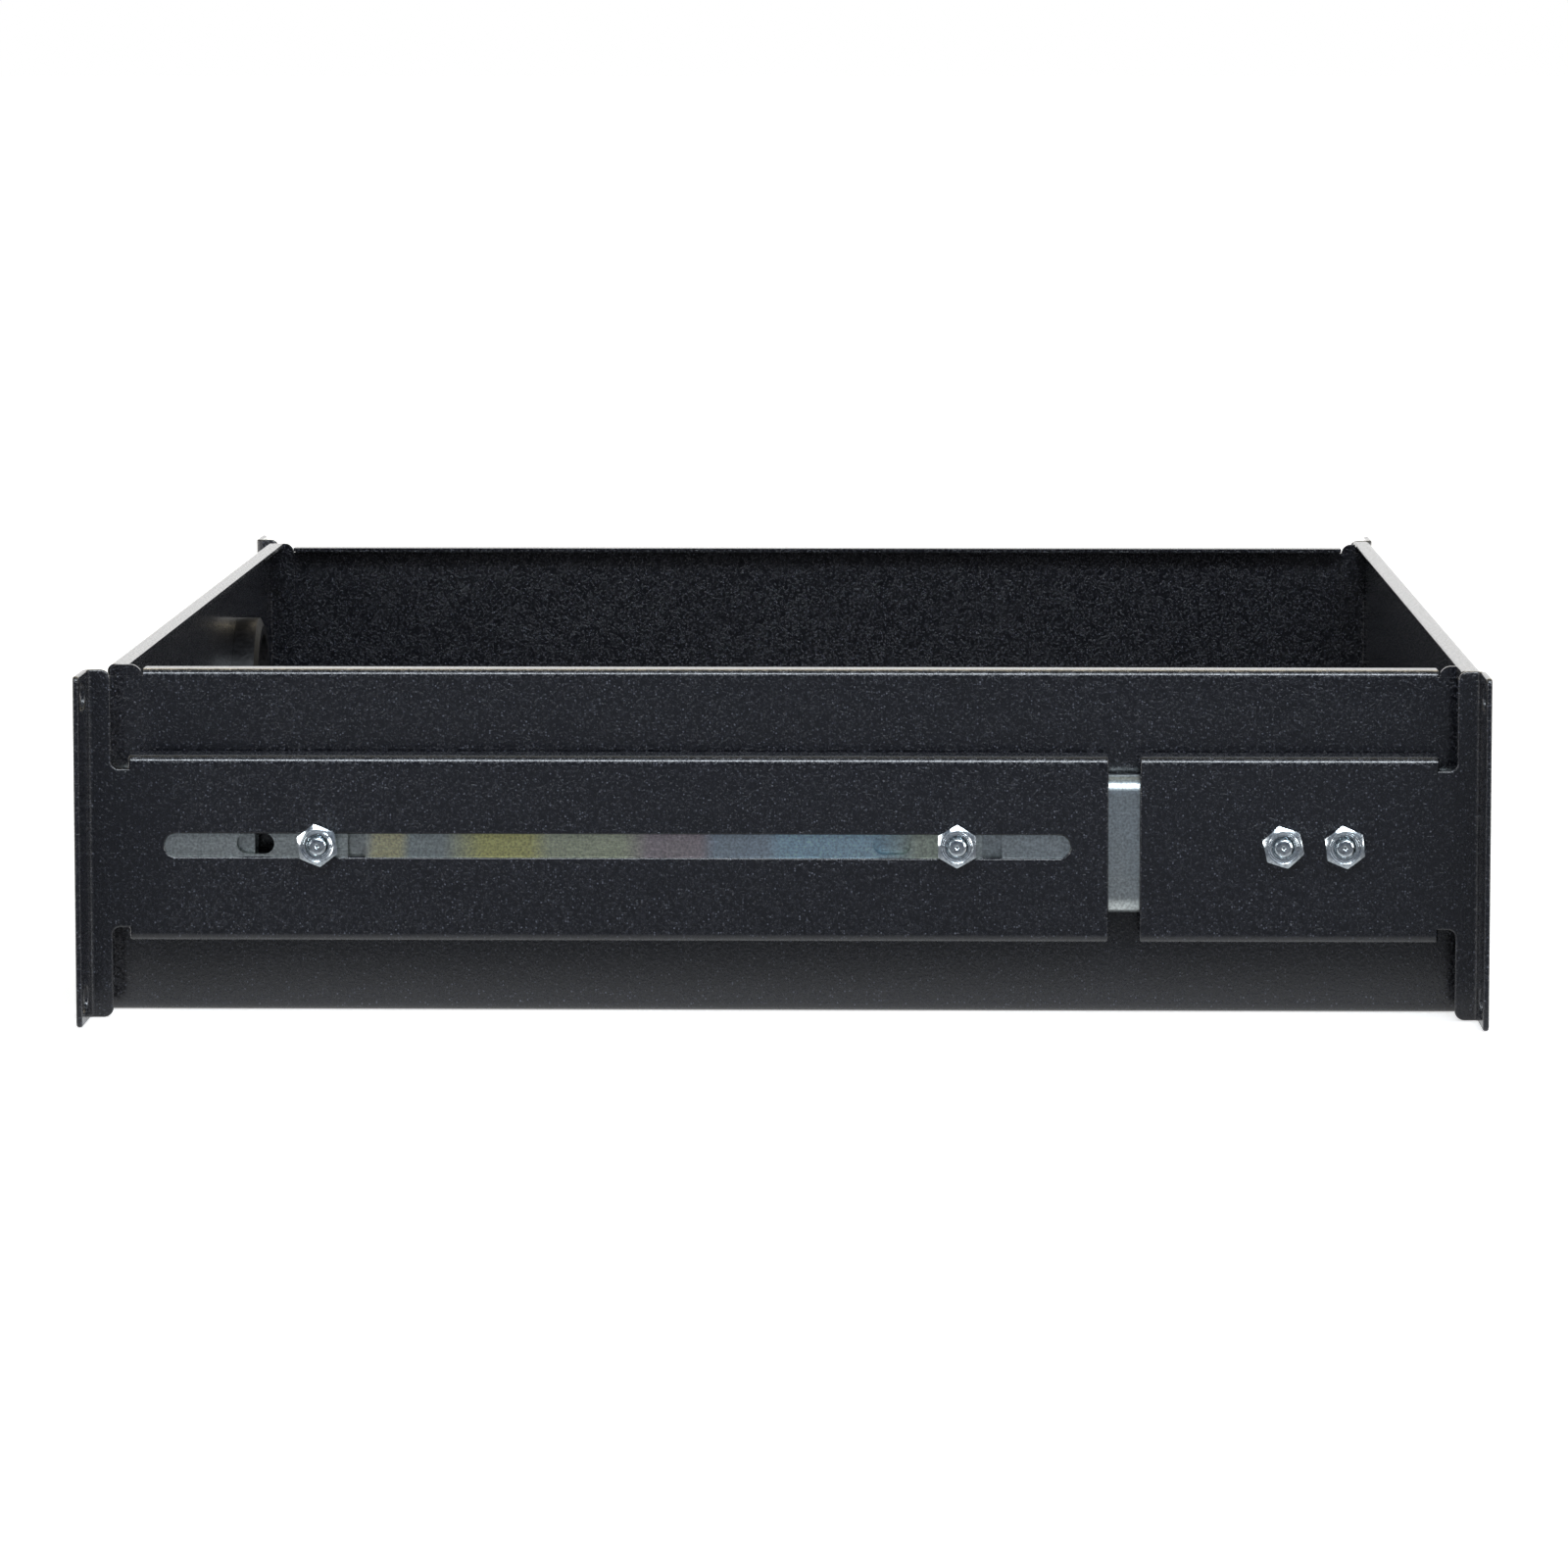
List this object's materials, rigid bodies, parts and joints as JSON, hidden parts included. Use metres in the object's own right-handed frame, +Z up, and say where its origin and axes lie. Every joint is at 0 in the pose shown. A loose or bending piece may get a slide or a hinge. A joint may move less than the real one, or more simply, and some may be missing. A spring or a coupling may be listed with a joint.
{
  "type": "sliding rack drawer",
  "caption": "Two-unit sliding rack drawer: open-topped folded steel box on telescopic ball-bearing slides, with front and adjustable rear mounting ears.",
  "frame": {"origin": "centre of the underside: half way between the front and rear ear planes, on the centre line, at the bottom edge of the brackets", "axes": "+X towards the front of the drawer, +Y across it, +Z up"},
  "size_m": [0.352, 0.4826, 0.0881],
  "materials": {
    "black_coat": "fine-textured semi-gloss powder coat",
    "zinc_slide": "bright zinc plate",
    "cage_steel": "plain steel strip",
    "ball_steel": "polished",
    "zinc_fixing": "bright zinc plate",
    "bumper_rubber": "matt",
    "pull_plastic": "satin",
    "grommet_rubber": "semi-gloss"
  },
  "bodies": {
    "rack_frame": {"front_bracket_left": "black_coat", "front_bracket_right": "black_coat", "slide_outer_left": "zinc_slide", "slide_outer_right": "zinc_slide", "rear_bumper_left": "bumper_rubber", "rear_bumper_right": "bumper_rubber", "bracket_studs_left": "zinc_fixing", "bracket_studs_right": "zinc_fixing", "bracket_nuts_left": "zinc_fixing", "bracket_nuts_right": "zinc_fixing"},
    "drawer": {"drawer_tray": "black_coat", "rear_wall": "black_coat", "front_wall": "black_coat", "front_panel": "black_coat", "recessed_pull": "pull_plastic", "cable_grommet": "grommet_rubber", "slide_inner_left": "zinc_slide", "slide_inner_right": "zinc_slide", "drawer_studs_left": "zinc_fixing", "drawer_studs_right": "zinc_fixing", "drawer_nuts_left": "zinc_fixing", "drawer_nuts_right": "zinc_fixing"},
    "middle_member_left": {"slide_middle_left": "zinc_slide"},
    "outer_ball_cage_left": {"outer_cage_left": "cage_steel", "outer_balls_left": "ball_steel"},
    "inner_ball_cage_left": {"inner_cage_left": "cage_steel", "inner_balls_left": "ball_steel"},
    "rear_ear_left": {"rear_bracket_left": "black_coat"},
    "middle_member_right": {"slide_middle_right": "zinc_slide"},
    "outer_ball_cage_right": {"outer_cage_right": "cage_steel", "outer_balls_right": "ball_steel"},
    "inner_ball_cage_right": {"inner_cage_right": "cage_steel", "inner_balls_right": "ball_steel"},
    "rear_ear_right": {"rear_bracket_right": "black_coat"}
  },
  "joints": [
    {"name": "drawer_slide", "type": "slide", "parent": "rack_frame", "child": "drawer", "axis": [1, 0, 0], "range_m": [0, 0.35]},
    {"name": "middle_slide_left", "type": "slide", "parent": "rack_frame", "child": "middle_member_left", "axis": [1, 0, 0], "range_m": [0, 0.175]},
    {"name": "outer_cage_slide_left", "type": "slide", "parent": "rack_frame", "child": "outer_ball_cage_left", "axis": [1, 0, 0], "range_m": [0, 0.0875]},
    {"name": "inner_cage_slide_left", "type": "slide", "parent": "middle_member_left", "child": "inner_ball_cage_left", "axis": [1, 0, 0], "range_m": [0, 0.0875]},
    {"name": "rear_depth_adjust_left", "type": "slide", "parent": "rack_frame", "child": "rear_ear_left", "axis": [-1, 0, 0], "range_m": [-0.007, 0.025]},
    {"name": "middle_slide_right", "type": "slide", "parent": "rack_frame", "child": "middle_member_right", "axis": [1, 0, 0], "range_m": [0, 0.175]},
    {"name": "outer_cage_slide_right", "type": "slide", "parent": "rack_frame", "child": "outer_ball_cage_right", "axis": [1, 0, 0], "range_m": [0, 0.0875]},
    {"name": "inner_cage_slide_right", "type": "slide", "parent": "middle_member_right", "child": "inner_ball_cage_right", "axis": [1, 0, 0], "range_m": [0, 0.0875]},
    {"name": "rear_depth_adjust_right", "type": "slide", "parent": "rack_frame", "child": "rear_ear_right", "axis": [-1, 0, 0], "range_m": [-0.007, 0.025]}
  ],
  "couplings": [
    {"joint": "middle_slide_left", "follows": "drawer_slide", "ratio": 0.5},
    {"joint": "outer_cage_slide_left", "follows": "drawer_slide", "ratio": 0.25},
    {"joint": "inner_cage_slide_left", "follows": "drawer_slide", "ratio": 0.25},
    {"joint": "middle_slide_right", "follows": "drawer_slide", "ratio": 0.5},
    {"joint": "outer_cage_slide_right", "follows": "drawer_slide", "ratio": 0.25},
    {"joint": "inner_cage_slide_right", "follows": "drawer_slide", "ratio": 0.25}
  ]
}
